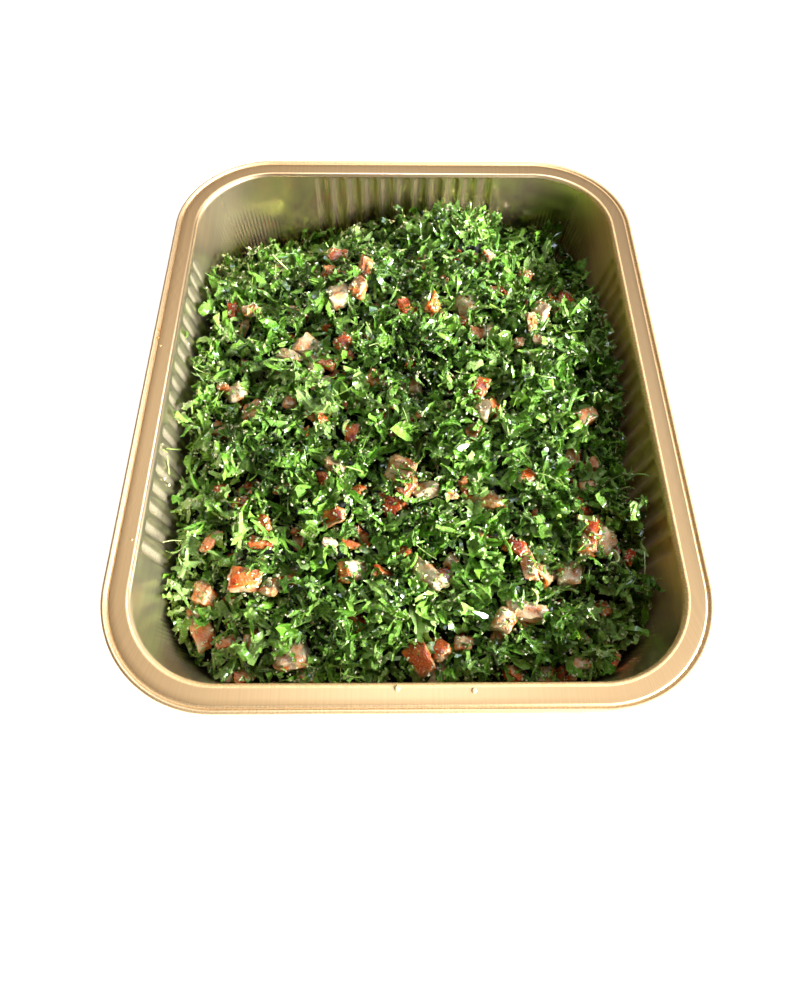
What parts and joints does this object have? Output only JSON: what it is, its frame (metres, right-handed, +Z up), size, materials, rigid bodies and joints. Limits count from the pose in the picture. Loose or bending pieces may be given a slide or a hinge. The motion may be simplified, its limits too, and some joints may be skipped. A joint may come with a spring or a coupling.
{
  "type": "tabbouleh salad in a foil tray",
  "caption": "Rectangular gold foil tray with round corners, a flat rim and ribbed sloping walls, filled with an uneven mound of chopped herb salad.",
  "frame": {"origin": "on the table, under the middle of the tray", "axes": "+Z up, +Y along the tray's long sides away from the front, +X to the right seen from the front"},
  "size_m": [0.262, 0.322, 0.065],
  "materials": {
    "gold_foil": "satin",
    "salad": "satin",
    "parsley": "satin",
    "stem": "satin",
    "tomato": "gloss",
    "onion": "gloss",
    "bulgur": "matte",
    "dressing": "gloss"
  },
  "bodies": {
    "root": {"foil_tray": "gold_foil", "salad_heap": "salad"}
  },
  "joints": []
}
